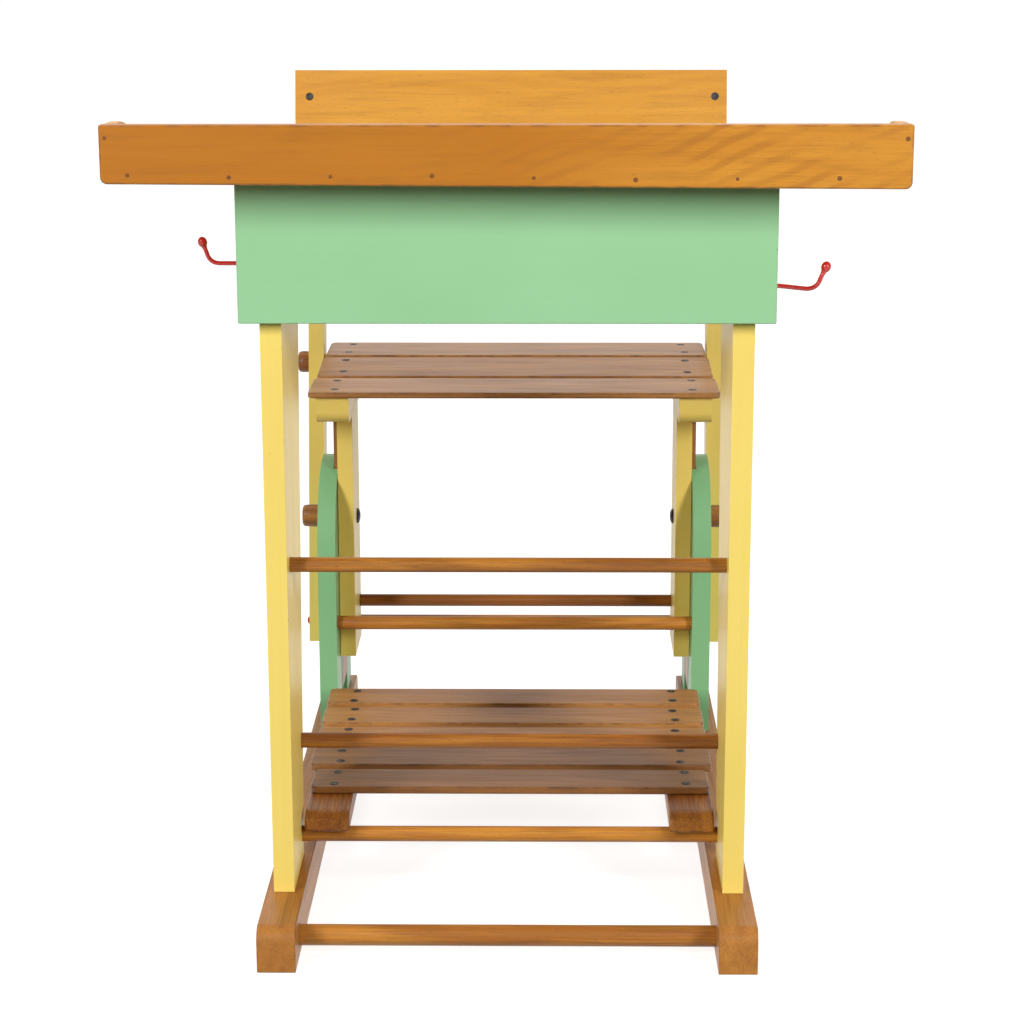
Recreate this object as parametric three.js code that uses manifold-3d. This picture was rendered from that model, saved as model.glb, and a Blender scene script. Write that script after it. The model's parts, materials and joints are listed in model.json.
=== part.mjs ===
// Child's desk with an attached slatted seat: two floor skids carry the desk's tapered legs in front
// and the seat's side boards behind. Millimetres; left and right as seen from the front, X to the right,
// Y from the front towards the seat, Z up.
import * as THREE from "three";
import { mergeVertices } from "three/addons/utils/BufferGeometryUtils.js";
import Module from "manifold-3d";

const wasm = await Module();
wasm.setup();

// ---------------------------------------------------------------- driving dimensions
const GAP = 0.3; // clearance that glued or resting faces keep
const SMOOTH = 24; // sides of a round dowel
const TENON_DEPTH = 10; // how far a dowel or hook goes into a board

const SKID = { innerX: 194.5, width: 36, height: 43, length: 792, endRadius: 15 };
const LEG = { innerX: 203.3, thickness: 19.7, frontY: 89.3, footDepth: 96.7, taper: 0.107 };
const SIDE_BOARD = { innerX: 200, thickness: 20, frontY: 569, depth: 190, topZ: 342 };
const MORTISE = { depth: 20, thickness: 12, shoulder: 16 };
const APRON = { halfWidth: 240.7, thickness: 14, bottomZ: 592 };

const TOP = { halfWidth: 350, board: 14, frontY: 23, depth: 430, bottomZ: 721, rimZ: 773 };
const FRONT_RIM = { thickness: 15, leftBottomZ: 722, rightBottomZ: 717.5, lowerCorner: 6, upperCorner: 2 };
const SIDE_RIM = { inset: 2.5, thickness: 10, levelEnd: 14, sweepEnd: 172, lowZ: 743, endZ: 736 };
const CLEAT = { width: 20, height: 20, startY: 104, endY: 244 };

const DOWEL = {
  base: { radius: 10, y: 47, z: 18 },
  footrestFront: { radius: 7.7, y: 177, z: 69 },
  footrestRear: { radius: 8, y: 583, z: 69 },
  upperFront: { radius: 7.5, y: 187, z: 162 },
  upperRear: { radius: 7.7, y: 586, z: 165.5 },
  knee: { radius: 7, y: 118, z: 358 },
  seatStretcher: { radius: 7, y: 686, z: 164 },
};

const FOOTREST = {
  railInnerX: 156,
  railOuterX: 199.5,
  railFrontY: 160,
  railRearY: 590,
  railHeight: 18.7,
  rearTaper: 36,
  rearFall: 13,
};
const FOOT_SLAT = {
  count: 5,
  thickness: 7.6,
  firstY: 215,
  pitch: 66.9,
  width: 54,
  halfLength: 205,
  frontHalfLength: 198.5,
};
const SLAT_CORNER = 7;

const SEAT = {
  railInnerX: 182,
  railOuterX: 218,
  frontY: 567,
  rearY: 852,
  bottomZ: 399,
  topZ: 428,
  rearRise: 6.2,
};
const SEAT_SLAT = {
  count: 3,
  thickness: 6.8,
  firstY: 562,
  pitch: 100,
  width: 88,
  halfLength: 227,
  shorter: 1.7,
};
const SEAT_POST = { thickness: 17.4, frontY: 612, depth: 90, bottomZ: 118 };
const SLIDE = { frontY: 628, width: 74, thickness: 4.9, bottomZ: 72, grooveDepth: 5.2, clearance: 0.5 };
const HEIGHT_TRAVEL = { down: 25, up: 45 };

const BACK = {
  pivotY: 825,
  pivotZ: 422,
  lean: 10.76,
  innerX: 228.3,
  thickness: 18,
  depth: 41,
  shiftX: -1.5,
};
const BACK_POST = { below: 335, above: 335 };
const BACK_BOARD = { halfWidth: 254.5, thickness: 15, height: 110, topAbove: 343, shiftX: -5 };
const BACK_DOWEL = { radius: 7, below: 311.5 };
const BACK_SCREW = {
  radius: 4.7,
  headDepth: 3,
  shank: 2.2,
  length: 32,
  inset: 31,
  leftX: -242.6,
  rightX: 235.5,
};

const BOLT = { radius: 4, clearance: 0.4, headRadius: 9, headHeight: 3.6, engagement: 9 };
const CLAMP = { y: 665, z: 271 };
const KNOB = { radius: 12.8, lower: 24, upper: 13, edge: 3.5 };
const SPACER_RADIUS = 9.5;

const HOOK = { rod: 2.1, ball: 5.2, reach: 49, cornerOut: 59, riseOut: 61.5, riseUp: 9, tipUp: 20 };
const HOOK_PLACES = {
  left: { y: 210, z: 627.5, sag: 0, tipOut: 65.5 },
  right: { y: 130, z: 620.5, sag: 5, tipOut: 66.5 },
};

// ---------------------------------------------------------------- materials
const paint = (color, roughness) => new THREE.MeshStandardMaterial({ color, roughness, metalness: 0 });
const YELLOW = paint(0xf0d774, 0.35);
const GREEN = paint(0x86cf9f, 0.35);
const RED = paint(0xb3171c, 0.3);
const BEECH = paint(0xc98a45, 0.45);
const DARK_BEECH = paint(0x9a6231, 0.5);
const WALNUT = paint(0x7d4a24, 0.5);
const STEEL = new THREE.MeshStandardMaterial({ color: 0x8d8d8a, roughness: 0.35, metalness: 0.9 });

// ---------------------------------------------------------------- solids and booleans
function toSolid(geometry) {
  const bare = geometry.index ? geometry.toNonIndexed() : geometry.clone();
  bare.deleteAttribute("normal");
  bare.deleteAttribute("uv");
  const merged = mergeVertices(bare, 1e-4);
  return new wasm.Manifold(
    new wasm.Mesh({
      numProp: 3,
      vertProperties: merged.attributes.position.array,
      triVerts: new Uint32Array(merged.index.array),
    }),
  );
}

function toGeometry(solid) {
  const mesh = solid.getMesh();
  const geometry = new THREE.BufferGeometry();
  geometry.setAttribute("position", new THREE.BufferAttribute(new Float32Array(mesh.vertProperties), 3));
  geometry.setIndex(new THREE.BufferAttribute(new Uint32Array(mesh.triVerts), 1));
  return geometry;
}

const cut = (geometry, ...tools) =>
  toGeometry(tools.reduce((solid, tool) => solid.subtract(toSolid(tool)), toSolid(geometry)));
const join = (geometry, ...more) =>
  toGeometry(more.reduce((solid, piece) => solid.add(toSolid(piece)), toSolid(geometry)));

// A box from its lowest to its highest corner.
function block(x0, x1, y0, y1, z0, z1) {
  const geometry = new THREE.BoxGeometry(x1 - x0, y1 - y0, z1 - z0);
  geometry.translate((x0 + x1) / 2, (y0 + y1) / 2, (z0 + z1) / 2);
  return geometry;
}

// A round bar along X.
function bar(radius, x0, x1, y, z, sides = SMOOTH) {
  const geometry = new THREE.CylinderGeometry(radius, radius, x1 - x0, sides);
  geometry.rotateZ(-Math.PI / 2);
  geometry.translate((x0 + x1) / 2, y, z);
  return geometry;
}

// A YZ outline extruded along X from x0 to x1.
function plank(shape, x0, x1, curveSegments = 8) {
  const geometry = new THREE.ExtrudeGeometry(shape, { depth: x1 - x0, bevelEnabled: false, curveSegments });
  const acrossX = new THREE.Matrix4().makeBasis(
    new THREE.Vector3(0, 1, 0),
    new THREE.Vector3(0, 0, 1),
    new THREE.Vector3(1, 0, 0),
  );
  geometry.applyMatrix4(acrossX);
  geometry.translate(x0, 0, 0);
  return geometry;
}

// X limits of a piece that spans inner to outer on the given side.
const span = (side, inner, outer) => (side > 0 ? [inner, outer] : [-outer, -inner]);

// A lathe profile turned about X, with its foot at x on the given side and growing outwards.
function turned(profile, side, x, y, z) {
  const points = profile.map(([radius, along]) => new THREE.Vector2(radius, along));
  const geometry = new THREE.LatheGeometry(points, SMOOTH);
  geometry.rotateZ((-side * Math.PI) / 2);
  geometry.translate(side * x, y, z);
  return geometry;
}

function piece(parent, name, geometry, material) {
  const mesh = new THREE.Mesh(geometry, material);
  mesh.name = name;
  parent.add(mesh);
  return mesh;
}

const SIDES = [
  ["left", -1],
  ["right", 1],
];

const desk = new THREE.Group();
const frame = new THREE.Group();
const footrest = new THREE.Group();
const seat = new THREE.Group();
const backrest = new THREE.Group();
desk.add(frame, footrest, seat, backrest);

// ---------------------------------------------------------------- skids, legs and side boards
const skidTop = SKID.height;
const legRearAt = (z) => LEG.frontY + LEG.footDepth + LEG.taper * (z - skidTop);
const boardRearY = SIDE_BOARD.frontY + SIDE_BOARD.depth;

function skidOutline() {
  const r = SKID.endRadius;
  const shape = new THREE.Shape();
  shape.moveTo(0, 0);
  shape.lineTo(SKID.length, 0);
  shape.lineTo(SKID.length, skidTop - r);
  shape.absarc(SKID.length - r, skidTop - r, r, 0, Math.PI / 2);
  shape.lineTo(r, skidTop);
  shape.absarc(r, skidTop - r, r, Math.PI / 2, Math.PI);
  return shape;
}

function legOutline() {
  const legTop = TOP.bottomZ - GAP;
  const shape = new THREE.Shape();
  shape.moveTo(LEG.frontY, skidTop + GAP);
  shape.lineTo(legRearAt(skidTop), skidTop + GAP);
  shape.lineTo(legRearAt(legTop), legTop);
  shape.lineTo(LEG.frontY, legTop);
  return shape;
}

function sideBoardOutline() {
  const r = SIDE_BOARD.depth / 2;
  const shape = new THREE.Shape();
  shape.moveTo(SIDE_BOARD.frontY, skidTop + GAP);
  shape.lineTo(boardRearY, skidTop + GAP);
  shape.lineTo(boardRearY, SIDE_BOARD.topZ - r);
  shape.absarc(SIDE_BOARD.frontY + r, SIDE_BOARD.topZ - r, r, 0, Math.PI);
  return shape;
}

// The tenon under a standing board, grown by extra on every side for its mortise.
function tenon(side, innerX, thickness, y0, y1, extra = 0) {
  const middle = innerX + thickness / 2;
  const half = MORTISE.thickness / 2 + extra;
  const [x0, x1] = span(side, middle - half, middle + half);
  return block(x0, x1, y0 + MORTISE.shoulder - extra, y1 - MORTISE.shoulder + extra,
    skidTop - MORTISE.depth - extra, skidTop + 2);
}

function bores(side, innerX, names) {
  return names.map((key) => {
    const { radius, y, z } = DOWEL[key];
    const [x0, x1] = span(side, innerX - 1, innerX + TENON_DEPTH + GAP);
    return bar(radius + GAP, x0, x1, y, z);
  });
}

for (const [word, side] of SIDES) {
  const hook = HOOK_PLACES[word];
  const legOuter = LEG.innerX + LEG.thickness;
  const boardOuter = SIDE_BOARD.innerX + SIDE_BOARD.thickness;
  const legFoot = [side, LEG.innerX, LEG.thickness, LEG.frontY, legRearAt(skidTop)];
  const boardFoot = [side, SIDE_BOARD.innerX, SIDE_BOARD.thickness, SIDE_BOARD.frontY, boardRearY];

  piece(frame, `skid_${word}`, cut(
    plank(skidOutline(), ...span(side, SKID.innerX, SKID.innerX + SKID.width), 6),
    tenon(...legFoot, GAP),
    tenon(...boardFoot, GAP),
    ...bores(side, SKID.innerX, ["base"]),
  ), BEECH);

  piece(frame, `desk_leg_${word}`, cut(
    join(plank(legOutline(), ...span(side, LEG.innerX, legOuter)), tenon(...legFoot)),
    ...bores(side, LEG.innerX, ["footrestFront", "upperFront", "knee"]),
    bar(HOOK.rod + GAP, ...span(side, legOuter - TENON_DEPTH - GAP, legOuter + 1), hook.y, hook.z),
  ), YELLOW);

  // The groove guides the seat's slide plate, and the slot lets the clamp bolt follow the seat.
  const grooveOuter = SIDE_BOARD.innerX + SLIDE.grooveDepth;
  const groove = block(...span(side, SIDE_BOARD.innerX - 1, grooveOuter),
    SLIDE.frontY - SLIDE.clearance, SLIDE.frontY + SLIDE.width + SLIDE.clearance,
    skidTop - 1, SIDE_BOARD.topZ + 1);
  const slotRadius = BOLT.radius + BOLT.clearance;
  const slotX = span(side, SIDE_BOARD.innerX - 1, boardOuter + 1);
  const slotLow = CLAMP.z - HEIGHT_TRAVEL.down;
  const slotHigh = CLAMP.z + HEIGHT_TRAVEL.up;
  piece(frame, `side_board_${word}`, cut(
    join(plank(sideBoardOutline(), ...span(side, SIDE_BOARD.innerX, boardOuter), 16), tenon(...boardFoot)),
    groove,
    block(...slotX, CLAMP.y - slotRadius, CLAMP.y + slotRadius, slotLow, slotHigh),
    bar(slotRadius, ...slotX, CLAMP.y, slotLow),
    bar(slotRadius, ...slotX, CLAMP.y, slotHigh),
    ...bores(side, SIDE_BOARD.innerX, ["footrestRear", "upperRear"]),
  ), GREEN);
}

// ---------------------------------------------------------------- cross dowels
function crossDowel(parent, name, key, faceX, material) {
  const { radius, y, z } = DOWEL[key];
  const end = faceX + TENON_DEPTH;
  piece(parent, name, bar(radius, -end, end, y, z), material);
}
crossDowel(frame, "base_dowel", "base", SKID.innerX, DARK_BEECH);
crossDowel(frame, "footrest_dowel_front", "footrestFront", LEG.innerX, DARK_BEECH);
crossDowel(frame, "footrest_dowel_rear", "footrestRear", SIDE_BOARD.innerX, DARK_BEECH);
crossDowel(frame, "upper_dowel_front", "upperFront", LEG.innerX, DARK_BEECH);
crossDowel(frame, "upper_dowel_rear", "upperRear", SIDE_BOARD.innerX, DARK_BEECH);
crossDowel(frame, "knee_dowel", "knee", LEG.innerX, DARK_BEECH);

// ---------------------------------------------------------------- apron and desk top
piece(frame, "apron", block(-APRON.halfWidth, APRON.halfWidth,
  LEG.frontY - GAP - APRON.thickness, LEG.frontY - GAP, APRON.bottomZ, TOP.bottomZ - GAP), GREEN);

const rimOuterX = TOP.halfWidth - SIDE_RIM.inset;
const rimInnerX = rimOuterX - SIDE_RIM.thickness;
const topBehindRim = TOP.frontY + FRONT_RIM.thickness;
const topRearY = TOP.frontY + TOP.depth;
piece(frame, "top_board", block(-rimInnerX + GAP, rimInnerX - GAP, topBehindRim + GAP, topRearY,
  TOP.bottomZ, TOP.bottomZ + TOP.board), BEECH);

// The front rim is a board on edge, a little deeper at its right end, with its corners rounded.
function frontRimOutline() {
  const w = TOP.halfWidth;
  const r = FRONT_RIM.lowerCorner;
  const u = FRONT_RIM.upperCorner;
  const shape = new THREE.Shape();
  shape.moveTo(-w + r, FRONT_RIM.leftBottomZ);
  shape.lineTo(w - r, FRONT_RIM.rightBottomZ);
  shape.absarc(w - r, FRONT_RIM.rightBottomZ + r, r, -Math.PI / 2, 0);
  shape.absarc(w - u, TOP.rimZ - u, u, 0, Math.PI / 2);
  shape.absarc(-w + u, TOP.rimZ - u, u, Math.PI / 2, Math.PI);
  shape.absarc(-w + r, FRONT_RIM.leftBottomZ + r, r, Math.PI, 1.5 * Math.PI);
  return shape;
}
const frontRim = new THREE.ExtrudeGeometry(frontRimOutline(), {
  depth: FRONT_RIM.thickness,
  bevelEnabled: false,
  curveSegments: 5,
});
frontRim.rotateX(Math.PI / 2);
frontRim.translate(0, topBehindRim, 0);
piece(frame, "top_front_rim", frontRim, BEECH);

// The side rim is level behind the front rim, sweeps down and then fades out towards the sitter.
function sideRimOutline() {
  const start = topBehindRim + GAP;
  const level = start + SIDE_RIM.levelEnd;
  const low = start + SIDE_RIM.sweepEnd;
  const ease = (low - level) * 0.45;
  const shape = new THREE.Shape();
  shape.moveTo(start, TOP.bottomZ);
  shape.lineTo(topRearY, TOP.bottomZ);
  shape.lineTo(topRearY, SIDE_RIM.endZ);
  shape.lineTo(low, SIDE_RIM.lowZ);
  shape.bezierCurveTo(low - ease, SIDE_RIM.lowZ + 1, level + ease, TOP.rimZ, level, TOP.rimZ);
  shape.lineTo(start, TOP.rimZ);
  return shape;
}

for (const [word, side] of SIDES) {
  piece(frame, `top_side_rim_${word}`,
    plank(sideRimOutline(), ...span(side, rimInnerX, rimOuterX), 12), BEECH);
  piece(frame, `top_cleat_${word}`, block(
    ...span(side, LEG.innerX - GAP - CLEAT.width, LEG.innerX - GAP),
    CLEAT.startY, CLEAT.endY, TOP.bottomZ - GAP - CLEAT.height, TOP.bottomZ - GAP), BEECH);
}

// ---------------------------------------------------------------- bag hooks
for (const [word, side] of SIDES) {
  const { y, z, sag, tipOut } = HOOK_PLACES[word];
  const { reach, cornerOut, riseOut, riseUp, tipUp } = HOOK;
  const root = LEG.innerX + LEG.thickness;
  const at = (out, up) => new THREE.Vector3(side * (root + out), y, z + up);
  const bend = new THREE.CurvePath();
  bend.add(new THREE.LineCurve3(at(-TENON_DEPTH, 0), at(2, 0)));
  bend.add(new THREE.LineCurve3(at(2, 0), at(reach, -sag)));
  bend.add(new THREE.QuadraticBezierCurve3(at(reach, -sag), at(cornerOut, -sag), at(riseOut, riseUp - sag)));
  bend.add(new THREE.LineCurve3(at(riseOut, riseUp - sag), at(tipOut, tipUp - sag)));
  const section = new THREE.Shape().absarc(0, 0, HOOK.rod, 0, 2 * Math.PI);
  const rod = new THREE.ExtrudeGeometry(section, { steps: 22, extrudePath: bend, curveSegments: 5 });
  const ball = new THREE.SphereGeometry(HOOK.ball, 14, 10);
  ball.translate(side * (root + tipOut), y, z + tipUp - sag);
  piece(frame, `bag_hook_${word}`, join(rod, ball), RED);
}

// ---------------------------------------------------------------- slats
// A slat along X with its two outer ends rounded in plan.
function slat(halfLength, y0, width, thickness, bottom) {
  const r = SLAT_CORNER;
  const y1 = y0 + width;
  const shape = new THREE.Shape();
  shape.moveTo(-halfLength + r, y0);
  shape.lineTo(halfLength - r, y0);
  shape.absarc(halfLength - r, y0 + r, r, -Math.PI / 2, 0);
  shape.absarc(halfLength - r, y1 - r, r, 0, Math.PI / 2);
  shape.lineTo(-halfLength + r, y1);
  shape.absarc(-halfLength + r, y1 - r, r, Math.PI / 2, Math.PI);
  shape.absarc(-halfLength + r, y0 + r, r, Math.PI, 1.5 * Math.PI);
  const geometry = new THREE.ExtrudeGeometry(shape, {
    depth: thickness,
    bevelEnabled: false,
    curveSegments: 4,
  });
  geometry.translate(0, 0, bottom);
  return geometry;
}

// ---------------------------------------------------------------- footrest
const footRailBottom = DOWEL.footrestFront.z + DOWEL.footrestFront.radius + GAP;
const footRailTop = footRailBottom + FOOTREST.railHeight;

function footRailOutline() {
  const r = FOOTREST.railHeight - 3;
  const shape = new THREE.Shape();
  shape.moveTo(FOOTREST.railFrontY, footRailBottom);
  shape.lineTo(FOOTREST.railRearY, footRailBottom);
  shape.lineTo(FOOTREST.railRearY, footRailTop - FOOTREST.rearFall);
  shape.lineTo(FOOTREST.railRearY - FOOTREST.rearTaper, footRailTop);
  shape.lineTo(FOOTREST.railFrontY + r, footRailTop);
  shape.absarc(FOOTREST.railFrontY + r, footRailTop - r, r, Math.PI / 2, Math.PI);
  return shape;
}

for (const [word, side] of SIDES) {
  piece(footrest, `footrest_rail_${word}`,
    plank(footRailOutline(), ...span(side, FOOTREST.railInnerX, FOOTREST.railOuterX)), DARK_BEECH);
}
for (let i = 0; i < FOOT_SLAT.count; i++) {
  const half = i === 0 ? FOOT_SLAT.frontHalfLength : FOOT_SLAT.halfLength;
  const y0 = FOOT_SLAT.firstY + i * FOOT_SLAT.pitch;
  piece(footrest, `footrest_slat_${i + 1}`,
    slat(half, y0, FOOT_SLAT.width, FOOT_SLAT.thickness, footRailTop + GAP), BEECH);
}

// ---------------------------------------------------------------- seat
const rampStartY = SEAT_SLAT.firstY + SEAT_SLAT.pitch;
const rampEndY = rampStartY + SEAT_SLAT.width;

function seatRailOutline() {
  const nose = 13;
  const rearTop = SEAT.topZ + SEAT.rearRise;
  const shape = new THREE.Shape();
  shape.moveTo(SEAT.frontY + nose, SEAT.bottomZ);
  shape.lineTo(SEAT.rearY - nose, SEAT.bottomZ);
  shape.absarc(SEAT.rearY - nose, SEAT.bottomZ + nose, nose, -Math.PI / 2, 0);
  shape.lineTo(SEAT.rearY, rearTop);
  shape.lineTo(rampEndY, rearTop);
  shape.lineTo(rampStartY, SEAT.topZ);
  shape.lineTo(SEAT.frontY, SEAT.topZ);
  shape.absarc(SEAT.frontY + nose, SEAT.bottomZ + nose, nose, Math.PI, 1.5 * Math.PI);
  return shape;
}

const postOuterX = SEAT.railInnerX + SEAT_POST.thickness;
const slideInnerX = postOuterX + GAP;
const boltHole = BOLT.radius + BOLT.clearance;

// A coach bolt along X: a domed head against the inner face at headX and a plain shank out to endX.
function coachBolt(side, headX, endX, y, z) {
  const { radius, headRadius, headHeight } = BOLT;
  const profile = [
    [0, 0],
    [headRadius * 0.55, headHeight * 0.12],
    [headRadius * 0.88, headHeight * 0.5],
    [headRadius, headHeight],
    [radius, headHeight],
    [radius, endX - headX + headHeight],
    [0, endX - headX + headHeight],
  ];
  return turned(profile, side, headX - headHeight, y, z);
}

// A turned clamp knob with a blind bore for its bolt in the foot.
function knob(side, footX, length, y, z) {
  const { radius, edge } = KNOB;
  const profile = [
    [0, BOLT.engagement + 1],
    [boltHole, BOLT.engagement + 1],
    [boltHole, 0],
    [radius - 1.5, 0],
    [radius, 1.5],
    [radius, length - edge],
    [radius - edge * 0.3, length - edge * 0.3],
    [radius - edge, length],
    [0, length],
  ];
  return turned(profile, side, footX, y, z);
}

for (const [word, side] of SIDES) {
  const boardOuter = SIDE_BOARD.innerX + SIDE_BOARD.thickness;
  const backOuter = BACK.innerX + BACK.thickness + side * BACK.shiftX;
  const lowerKnobFoot = boardOuter + 2 * GAP;
  const upperKnobFoot = backOuter + 2 * GAP;

  piece(seat, `seat_rail_${word}`, cut(
    plank(seatRailOutline(), ...span(side, SEAT.railInnerX, SEAT.railOuterX)),
    bar(boltHole, ...span(side, SEAT.railInnerX - 1, SEAT.railOuterX + 1), BACK.pivotY, BACK.pivotZ),
  ), YELLOW);

  piece(seat, `seat_post_${word}`, cut(
    block(...span(side, SEAT.railInnerX, postOuterX), SEAT_POST.frontY, SEAT_POST.frontY + SEAT_POST.depth,
      SEAT_POST.bottomZ, SEAT.bottomZ - GAP),
    bar(boltHole, ...span(side, SEAT.railInnerX - 1, postOuterX + 1), CLAMP.y, CLAMP.z),
    ...bores(side, SEAT.railInnerX, ["seatStretcher"]),
  ), YELLOW);

  piece(seat, `slide_plate_${word}`, cut(
    block(...span(side, slideInnerX, slideInnerX + SLIDE.thickness),
      SLIDE.frontY, SLIDE.frontY + SLIDE.width, SLIDE.bottomZ, SEAT.bottomZ - GAP),
    bar(boltHole, ...span(side, slideInnerX - 1, slideInnerX + SLIDE.thickness + 1), CLAMP.y, CLAMP.z),
  ), WALNUT);

  piece(seat, `clamp_bolt_${word}`,
    coachBolt(side, SEAT.railInnerX - GAP, lowerKnobFoot + BOLT.engagement, CLAMP.y, CLAMP.z), STEEL);
  piece(seat, `pivot_bolt_${word}`,
    coachBolt(side, SEAT.railInnerX - GAP, upperKnobFoot + BOLT.engagement, BACK.pivotY, BACK.pivotZ), STEEL);
  piece(seat, `height_knob_${word}`, knob(side, lowerKnobFoot, KNOB.lower, CLAMP.y, CLAMP.z), WALNUT);
  piece(seat, `back_knob_${word}`, knob(side, upperKnobFoot, KNOB.upper, BACK.pivotY, BACK.pivotZ), WALNUT);
}
crossDowel(seat, "seat_stretcher", "seatStretcher", SEAT.railInnerX, DARK_BEECH);

// The middle slat lies on the rails' ramp, between a level front slat and a higher level rear one.
const rampAngle = Math.atan(SEAT.rearRise / SEAT_SLAT.width);
for (let i = 0; i < SEAT_SLAT.count; i++) {
  const half = SEAT_SLAT.halfLength - i * SEAT_SLAT.shorter;
  const board = slat(half, 0, SEAT_SLAT.width, SEAT_SLAT.thickness, GAP);
  if (i === 1) board.rotateX(rampAngle);
  board.translate(0, SEAT_SLAT.firstY + i * SEAT_SLAT.pitch, i === 2 ? SEAT.topZ + SEAT.rearRise : SEAT.topZ);
  piece(seat, `seat_slat_${i + 1}`, board, BEECH);
}

// ---------------------------------------------------------------- backrest
// Built upright about its pivot, then leaned back as one frame.
backrest.position.set(BACK.shiftX, BACK.pivotY, BACK.pivotZ);
backrest.rotation.x = THREE.MathUtils.degToRad(-BACK.lean);

const boardBackY = -BACK.depth / 2 - GAP;
const boardFrontY = boardBackY - BACK_BOARD.thickness;
const boardLow = BACK_BOARD.topAbove - BACK_BOARD.height;
const screwHeights = {
  upper: BACK_BOARD.topAbove - BACK_SCREW.inset,
  lower: boardLow + BACK_SCREW.inset,
};

// A countersunk screw along +Y with its head flush in the board's front, grown by extra for its hole.
function backScrew(side, height, extra = 0) {
  const { radius, headDepth, shank, length, leftX, rightX } = BACK_SCREW;
  const profile = [
    [0, -extra],
    [radius + extra, -extra],
    [shank + extra, headDepth + extra],
    [shank + extra, length + extra],
    [0, length + extra],
  ].map(([r, along]) => new THREE.Vector2(r, along));
  const geometry = new THREE.LatheGeometry(profile, 16);
  geometry.translate(side > 0 ? rightX : leftX, boardFrontY, height);
  return geometry;
}

const backHoles = SIDES.flatMap(([, side]) =>
  Object.values(screwHeights).map((height) => backScrew(side, height, GAP)));

for (const [word, side] of SIDES) {
  const outer = BACK.innerX + BACK.thickness;
  const across = span(side, BACK.innerX - 1, outer + 1);
  piece(backrest, `back_post_${word}`, cut(
    block(...span(side, BACK.innerX, outer), -BACK.depth / 2, BACK.depth / 2,
      -BACK_POST.below, BACK_POST.above),
    bar(boltHole, ...across, 0, 0),
    bar(BACK_DOWEL.radius + GAP, ...span(side, BACK.innerX - 1, BACK.innerX + TENON_DEPTH + GAP),
      0, -BACK_DOWEL.below),
    bar(2.5 + GAP, ...across, 0, -BACK_DOWEL.below),
    ...backHoles,
  ), YELLOW);

  const spacerInner = SEAT.railOuterX + GAP - side * BACK.shiftX;
  piece(backrest, `pivot_spacer_${word}`, cut(
    bar(SPACER_RADIUS, ...span(side, spacerInner, BACK.innerX - GAP), 0, 0),
    bar(boltHole, ...span(side, spacerInner - 1, BACK.innerX + 1), 0, 0),
  ), YELLOW);

  // A red domed screw holds the dowel's end through the post.
  const dome = [
    [0, -5.5],
    [2.5, -5.5],
    [2.5, GAP],
    [5, GAP],
    [4.7, 2],
    [3.2, 3.8],
    [0, 4.4],
  ];
  piece(backrest, `dowel_screw_${word}`, turned(dome, side, outer, 0, -BACK_DOWEL.below), RED);

  for (const [level, height] of Object.entries(screwHeights)) {
    piece(backrest, `back_screw_${word}_${level}`, backScrew(side, height), STEEL);
  }
}

piece(backrest, "back_board", cut(
  block(BACK_BOARD.shiftX - BACK_BOARD.halfWidth, BACK_BOARD.shiftX + BACK_BOARD.halfWidth,
    boardFrontY, boardBackY, boardLow, BACK_BOARD.topAbove),
  ...backHoles,
), BEECH);
piece(backrest, "back_dowel", bar(BACK_DOWEL.radius,
  -BACK.innerX - TENON_DEPTH, BACK.innerX + TENON_DEPTH, 0, -BACK_DOWEL.below), DARK_BEECH);

// ---------------------------------------------------------------- origin under the middle of the box
desk.updateMatrixWorld(true);
const extent = new THREE.Box3().setFromObject(desk, true);
const middle = extent.getCenter(new THREE.Vector3());
desk.position.set(-middle.x, -middle.y, -extent.min.z);

export default desk;
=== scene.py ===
# Looks of the child's desk with attached seat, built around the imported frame.
# Metres, +X to the right as seen from the front, +Y towards the seat, +Z up.
import functools
import itertools
import json
import math

import bmesh
import bpy
from mathutils import Matrix, Vector

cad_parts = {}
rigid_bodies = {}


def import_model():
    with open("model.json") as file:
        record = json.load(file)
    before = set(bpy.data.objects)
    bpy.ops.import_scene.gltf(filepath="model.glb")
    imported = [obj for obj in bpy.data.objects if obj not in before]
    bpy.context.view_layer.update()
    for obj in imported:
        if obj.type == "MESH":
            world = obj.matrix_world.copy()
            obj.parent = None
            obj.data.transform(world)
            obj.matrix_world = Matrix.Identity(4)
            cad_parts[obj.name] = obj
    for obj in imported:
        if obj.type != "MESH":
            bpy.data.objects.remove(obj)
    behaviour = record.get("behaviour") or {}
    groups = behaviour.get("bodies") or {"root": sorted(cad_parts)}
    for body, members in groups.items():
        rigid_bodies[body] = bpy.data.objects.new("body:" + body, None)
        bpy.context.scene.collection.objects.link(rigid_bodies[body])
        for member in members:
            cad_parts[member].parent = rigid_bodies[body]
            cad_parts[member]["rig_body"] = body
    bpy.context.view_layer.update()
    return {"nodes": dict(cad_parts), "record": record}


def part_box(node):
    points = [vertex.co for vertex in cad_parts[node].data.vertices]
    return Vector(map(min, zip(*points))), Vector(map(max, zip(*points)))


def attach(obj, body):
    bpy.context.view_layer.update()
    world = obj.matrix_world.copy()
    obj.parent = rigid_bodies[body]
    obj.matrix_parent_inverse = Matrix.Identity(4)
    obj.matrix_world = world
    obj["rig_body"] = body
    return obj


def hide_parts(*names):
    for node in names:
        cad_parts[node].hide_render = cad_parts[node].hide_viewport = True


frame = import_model()
nodes = frame["nodes"]
body_of_node = {name: obj["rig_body"] for name, obj in nodes.items()}
slot_of_node = {s["node"]: s["material_slot"] for s in frame["record"]["subparts"]}

# ---------------------------------------------------------------- sizes
MM = 0.001
SIDES = {"left": -1, "right": 1}
ALONG_X, ALONG_Y, ALONG_Z = (1, 0, 0), (0, 1, 0), (0, 0, 1)
FIXED_GRAIN = 0  # the seed that leaves the grain in its place, so the rim's curly figure stays where it is

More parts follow.
